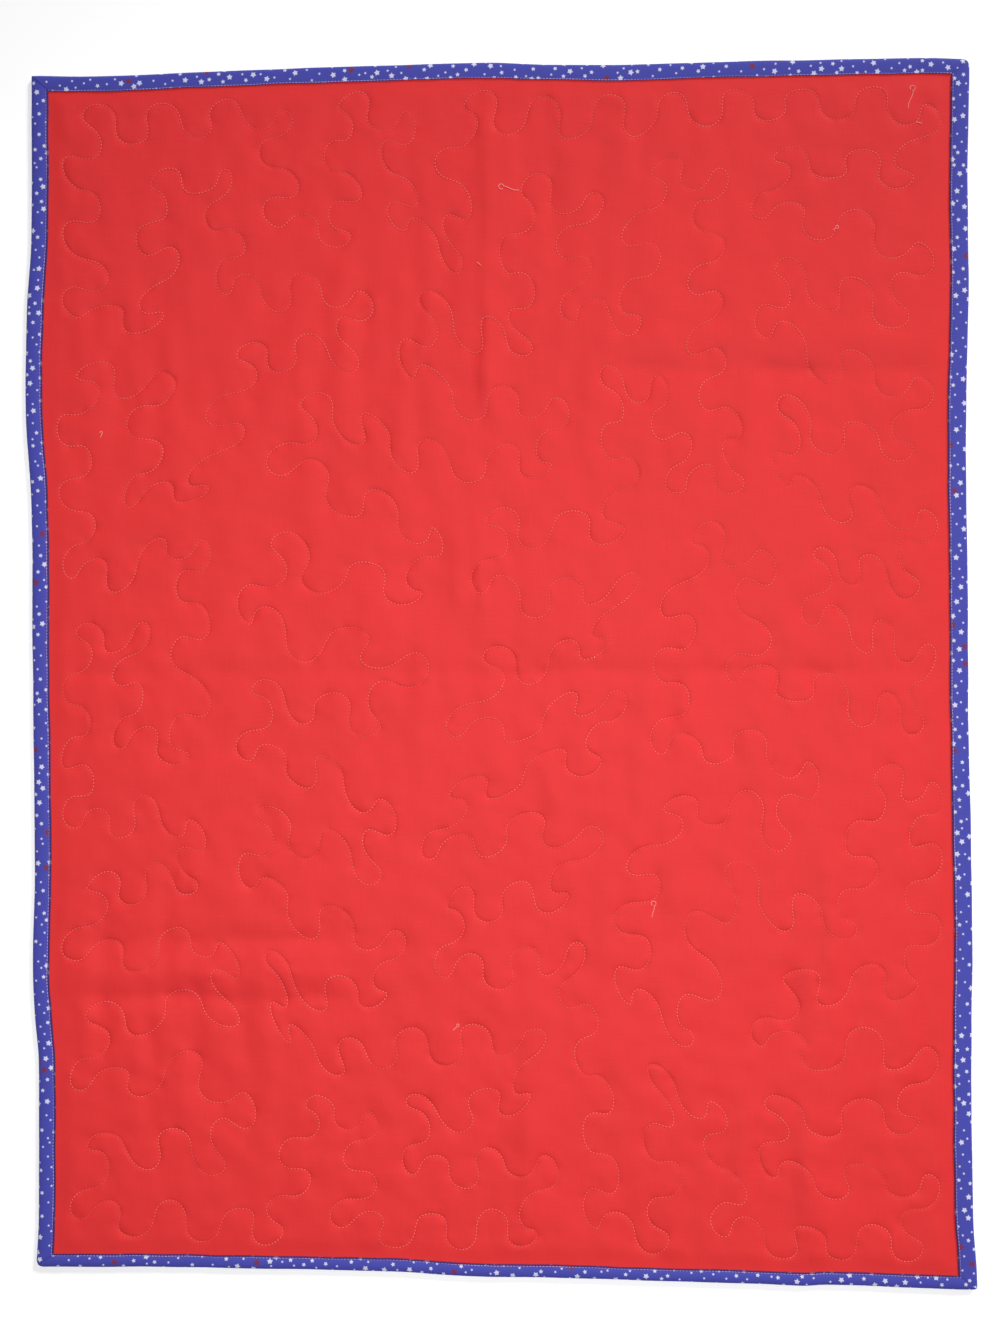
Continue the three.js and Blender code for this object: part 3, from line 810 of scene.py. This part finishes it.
def makeBinding(side, seed):
    length, before, after, toCloth = edges[side]
    width = shown[side]
    section = stripSection(width, binding["stitchInset"][side])
    corner = np.arange(0, binding["cornerLength"], binding["cornerStation"])
    middle = np.arange(binding["cornerLength"], length - binding["cornerLength"], binding["station"])
    places = np.concatenate([corner, middle, length - corner[::-1]]) / length
    inward, height = (np.tile(column, len(places)) for column in section.T)
    share = np.repeat(places, len(section))
    start = binding["mitreGap"] + inward * shown[before] / width
    stop = length - binding["mitreGap"] - inward * shown[after] / width
    place = mix(start, stop, share)
    still = np.zeros(len(place))
    fromEnd = np.minimum(place - start, stop - place)
    settled = smooth(fromEnd / binding["cornerLength"])
    edgeShare = np.clip(inward / width, 0, 1)
    for (wavelength, size, offset), weight in (
            (binding["edgeRipple"], 1 - edgeShare), (binding["hemRipple"], edgeShare)):
        inward = inward + settled * weight * size * unevenness(place, still, wavelength, seed + offset)
    low, rise = binding["puffFrom"]
    raised = smooth((height - low) / rise)
    wavelength, size, offset = binding["puff"]
    height = height + raised * size * unevenness(place, inward, wavelength, seed + offset)
    dips = np.where(share < 0.5, *binding["mitreDip"][side])
    height = height - raised * dips * np.exp(-(fromEnd / binding["mitreReach"]) ** 2)
    x, y = layCloth(*toCloth(place, inward))
    around = np.concatenate([[0], np.cumsum(np.linalg.norm(np.diff(section, axis=0), axis=1))])
    around += starPrint["hemLine"] - around[binding["stitchPoint"]]
    uvs = np.stack([place + seed * binding["printShift"], np.tile(around, len(places))], 1)
    number = np.arange(len(place)).reshape(len(places), len(section))
    ahead = np.roll(number, -1, 1)
    faces = np.stack([number[:-1], number[1:], ahead[1:], ahead[:-1]], -1).reshape(-1, 4).tolist()
    faces += [number[0].tolist(), number[-1, ::-1].tolist()]
    piece = makePiece("binding_" + side + "_strip", np.stack([x, y, height], 1), faces, starCotton, uvs)
    # distance round the section from the outer fold, which the painted rim shade reads
    fromFold = np.abs(around - around[binding["foldPoint"]])
    setValues(piece, "fromFold", np.tile(fromFold, len(places)))
    return piece


bindings = {side: makeBinding(side, seed) for seed, side in enumerate(edges)}
print("bindings:", sum(len(piece.data.polygons) for piece in bindings.values()), "faces")

# machine stitches: one short bead of thread for each stitch along a line
# the thread is drawn two or three times as thick as it is, so that it shows
quiltingStitch = {"pitch": 3.2, "length": 2.5, "radius": 0.42, "lift": 0.3, "lineSpacing": 1.6}
hemStitch = {"pitch": 3.0, "length": 2.8, "radius": 0.32, "lift": 0.05}
unevenThread = {
    "patch": 48,  # it sinks in and comes up along the line
    "patchRange": (0.36, 0.64),
    "thin": 0.4,
    "thick": 1.2,
    "shortest": 0.85,
    "longest": 1.1,
    "seed": 5,
}


def stitchTree():
    tree = bpy.data.node_groups.new("machineStitches", "GeometryNodeTree")
    tree.interface.new_socket("Geometry", in_out="INPUT", socket_type="NodeSocketGeometry")
    for name in ("Pitch", "Length", "Radius"):
        tree.interface.new_socket(name, in_out="INPUT", socket_type="NodeSocketFloat")
    tree.interface.new_socket("Thread", in_out="INPUT", socket_type="NodeSocketMaterial")
    tree.interface.new_socket("Geometry", in_out="OUTPUT", socket_type="NodeSocketGeometry")
    given = addNode(tree, "NodeGroupInput").outputs
    spaced = addNode(tree, "GeometryNodeResampleCurve", {
        "Curve": given["Geometry"], "Length": given["Pitch"]}, mode="LENGTH")
    spots = addNode(tree, "GeometryNodeCurveToPoints", {"Curve": spaced.outputs[0]}, mode="EVALUATED")
    bead = addNode(tree, "GeometryNodeMeshIcoSphere", {"Radius": 1, "Subdivisions": 1})
    half = addNode(tree, "ShaderNodeMath", {0: given["Length"], 1: 0.5}, operation="MULTIPLY")
    uneven = addNode(tree, "FunctionNodeRandomValue", {
        "Min": unevenThread["shortest"], "Max": unevenThread["longest"], "Seed": unevenThread["seed"]},
        data_type="FLOAT")
    reach = addNode(tree, "ShaderNodeMath", {
        0: half.outputs[0], 1: uneven.outputs[1]}, operation="MULTIPLY")
    place = addNode(tree, "GeometryNodeInputPosition")
    patch = addNode(tree, "ShaderNodeTexNoise", {
        "Vector": place.outputs[0], "Scale": 1 / (unevenThread["patch"] * mm), "Detail": 1})
    sunk, raised = unevenThread["patchRange"]
    girth = addNode(tree, "ShaderNodeMapRange", {
        "Value": patch.outputs["Fac"], "From Min": sunk, "From Max": raised,
        "To Min": unevenThread["thin"], "To Max": unevenThread["thick"]})
    thick = addNode(tree, "ShaderNodeMath", {
        0: given["Radius"], 1: girth.outputs[0]}, operation="MULTIPLY")
    size = addNode(tree, "ShaderNodeCombineXYZ", {
        0: thick.outputs[0], 1: thick.outputs[0], 2: reach.outputs[0]})
    sewn = addNode(tree, "GeometryNodeInstanceOnPoints", {
        "Points": spots.outputs["Points"], "Instance": bead.outputs["Mesh"],
        "Rotation": spots.outputs["Rotation"], "Scale": size.outputs[0]})
    real = addNode(tree, "GeometryNodeRealizeInstances", {"Geometry": sewn.outputs[0]})
    shaded = addNode(tree, "GeometryNodeSetShadeSmooth", {"Geometry": real.outputs[0]})
    threaded = addNode(tree, "GeometryNodeSetMaterial", {
        "Geometry": shaded.outputs[0], "Material": given["Thread"]})
    addNode(tree, "NodeGroupOutput", {"Geometry": threaded.outputs[0]})
    return tree


sewing = stitchTree()


# the evaluated result of an object as a plain mesh piece, in place of the object
def settle(source, name):
    bpy.context.view_layer.update()
    graph = bpy.context.evaluated_depsgraph_get()
    mesh = bpy.data.meshes.new_from_object(source.evaluated_get(graph))
    mesh.name = name
    bpy.data.objects.remove(source)
    piece = bpy.data.objects.new(name, mesh)
    bpy.context.scene.collection.objects.link(piece)
    return piece


def curveObject(name, lines, closed):
    curve = bpy.data.curves.new(name, "CURVE")
    curve.dimensions = "3D"
    for line in lines:
        spline = curve.splines.new("POLY")
        spline.points.add(len(line) - 1)
        spline.points.foreach_set("co", np.concatenate([line, np.ones((len(line), 1))], 1).ravel())
        spline.use_cyclic_u = closed
    source = bpy.data.objects.new(name, curve)
    bpy.context.scene.collection.objects.link(source)
    return source


def sewLines(name, lines, closed, stitch, thread):
    source = curveObject(name + "Line", lines, closed)
    modifier = source.modifiers.new("stitches", "NODES")
    modifier.node_group = sewing
    values = {"Pitch": stitch["pitch"] * mm, "Length": stitch["length"] * mm,
              "Radius": stitch["radius"] * mm, "Thread": thread}
    for item in sewing.interface.items_tree:
        if item.in_out == "INPUT" and item.name in values:
            modifier[item.identifier] = values[item.name]
    return settle(source, name)


# drops points onto a surface and returns them in metres
def dropOn(surface, x, y, lift):
    line, above = [], 100 * mm
    for p, q in zip(x * mm, y * mm):
        spot = surface.ray_cast(Vector((p, q, above)), Vector((0, 0, -1)))[0]
        if spot is not None:
            line.append((p, q, spot.z + lift * mm))
    return np.array(line)


sewnPlaces = layCloth(*evenly(seamLine, quiltingStitch["lineSpacing"]).T)
quiltingRun = dropOn(redSurface, *sewnPlaces, quiltingStitch["lift"])
quiltingStitches = sewLines("quiltingStitches", [quiltingRun], True, quiltingStitch, quiltingThread)
print("quilting stitches:", len(quiltingStitches.data.polygons), "faces")


def hemLine(side):
    length, before, after, toCloth = edges[side]
    inward = shown[side] - binding["stitchInset"][side]
    start, stop = shown[before] * binding["hemStart"], length - shown[after] * binding["hemStart"]
    place = np.arange(start, stop, binding["hemSpacing"])
    wavelength, size, offset = binding["hemRipple"]
    seed = list(edges).index(side)
    shift = size * unevenness(place, np.zeros(len(place)), wavelength, seed + offset)
    mesh = bindings[side].data
    faces = [tuple(face.vertices) for face in mesh.polygons]
    surface = BVHTree.FromPolygons([point.co for point in mesh.vertices], faces)
    return dropOn(surface, *layCloth(*toCloth(place, inward + shift)), hemStitch["lift"])


hemLines = [hemLine(side) for side in edges]
hemStitches = sewLines("bindingStitches", hemLines, False, hemStitch, bindingThread)
print("binding stitches:", len(hemStitches.data.polygons), "faces")

# thread ends left on the red side: x, y, loop radius, tail length, tail heading in degrees
threadEnds = [
    (378, 537, 2.4, 17, 260),
    (387, 506, 0, 6, 168),
    (2, 448, 2.4, 15, 352),
    (-23, 378, 0, 5, 335),
    (308, 411, 1.3, 4, 205),
    (140, -214, 2.2, 11, 268),
    (-41, -325, 1.2, 5, 235),
    (-369, 221, 1.1, 4, 250),
]
threadEnd = {
    "radius": 0.26,
    "step": 0.8,
    "lift": 0.35,
    "wiggle": 1.1,
    "wiggleLength": 3.7,
    "loopTurn": 5.6,  # radians of a loop, not quite a full circle
    "loopPoints": 16,
}


def makeThreadEnds():
    lines = []
    for x, y, loop, tail, heading in threadEnds:
        turn = math.radians(heading)
        run = np.arange(0, tail, threadEnd["step"])
        aside = threadEnd["wiggle"] * np.sin(run / threadEnd["wiggleLength"] + x)
        lineX = x + run * math.cos(turn) - aside * math.sin(turn)
        lineY = y + run * math.sin(turn) + aside * math.cos(turn)
        if loop:
            sweep = np.linspace(turn + threadEnd["loopTurn"], turn, threadEnd["loopPoints"])
            lineX = np.concatenate([x + loop * (np.cos(sweep) - math.cos(turn)), lineX])
            lineY = np.concatenate([y + loop * (np.sin(sweep) - math.sin(turn)), lineY])
        lines.append(dropOn(redSurface, lineX, lineY, threadEnd["lift"]))
    source = curveObject("threadEndLines", lines, False)
    source.data.bevel_depth = threadEnd["radius"] * mm
    source.data.bevel_resolution = 1
    source.data.use_fill_caps = True
    source.data.materials.append(tailThread)
    return settle(source, "threadEnds")


tails = makeThreadEnds()
print("thread ends:", len(tails.data.polygons), "faces")

# each piece rides on the quilt's one body and stands for its solid
bindingPieces = []
for side, piece in bindings.items():
    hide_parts("binding_" + side)
    bindingPieces.append(piece)
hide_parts("quilt_body")
for piece in [redPiece, quiltingStitches, hemStitches, tails, *bindingPieces]:
    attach(piece, "root")

# pale card floor, just under the cloth, and what lights and frames it
studio = {
    "floorSize": 30,  # metres, as are the camera's and the lamps' places
    "floorDrop": 0.6,  # millimetres
    "roomLight": 0.13,
    "frameHeight": 1.2313,
    "lens": 50,
    "sensor": 36,
    "aim": (-0.0014, 0.0067),
}
half = studio["floorSize"] / 2 / mm
corners = [(sideX * half, sideY * half, -studio["floorDrop"])
           for sideX, sideY in ((-1, -1), (1, -1), (1, 1), (-1, 1))]
floor = makePiece("floor", corners, [(0, 1, 2, 3)], floorMaterial())

# a soft overhead lamp, right of the middle, and a low far window beyond the top edge:
# name, kind, place, aim, settings
lamps = [
    ("overheadLamp", "SPOT", (0.14, -0.1, 2.3), (0.11, -0.08, 0),
     {"energy": 140, "shadow_soft_size": 0.5, "spot_size": math.radians(68), "spot_blend": 1}),
    ("farWindow", "SUN", (1.7, 2.5, 1.4), (0, 0, 0),
     {"energy": 1.9, "angle": math.radians(12)}),
]
for name, kind, place, aim, settings in lamps:
    light = bpy.data.lights.new(name, kind)
    for setting, value in settings.items():
        setattr(light, setting, value)
    lamp = bpy.data.objects.new(name, light)
    lamp.location = place
    lamp.rotation_euler = (Vector(aim) - Vector(place)).to_track_quat("-Z", "Y").to_euler()
    bpy.context.scene.collection.objects.link(lamp)
world = bpy.data.worlds.new("softWhiteRoom")
world.use_nodes = True
room = world.node_tree.nodes["Background"]
room.inputs["Color"].default_value = (1, 1, 1, 1)
room.inputs["Strength"].default_value = studio["roomLight"]
bpy.context.scene.world = world
bpy.context.scene.view_settings.view_transform = "Standard"

# camera straight above, framing the floor as the photograph does
camera = bpy.data.cameras.new("overheadCamera")
camera.lens = studio["lens"]
camera.sensor_width = studio["sensor"]
viewer = bpy.data.objects.new("overheadCamera", camera)
viewer.location = (*studio["aim"], studio["frameHeight"] * studio["lens"] / studio["sensor"])
bpy.context.scene.collection.objects.link(viewer)
bpy.context.scene.camera = viewer
print("stage, lights and camera set")
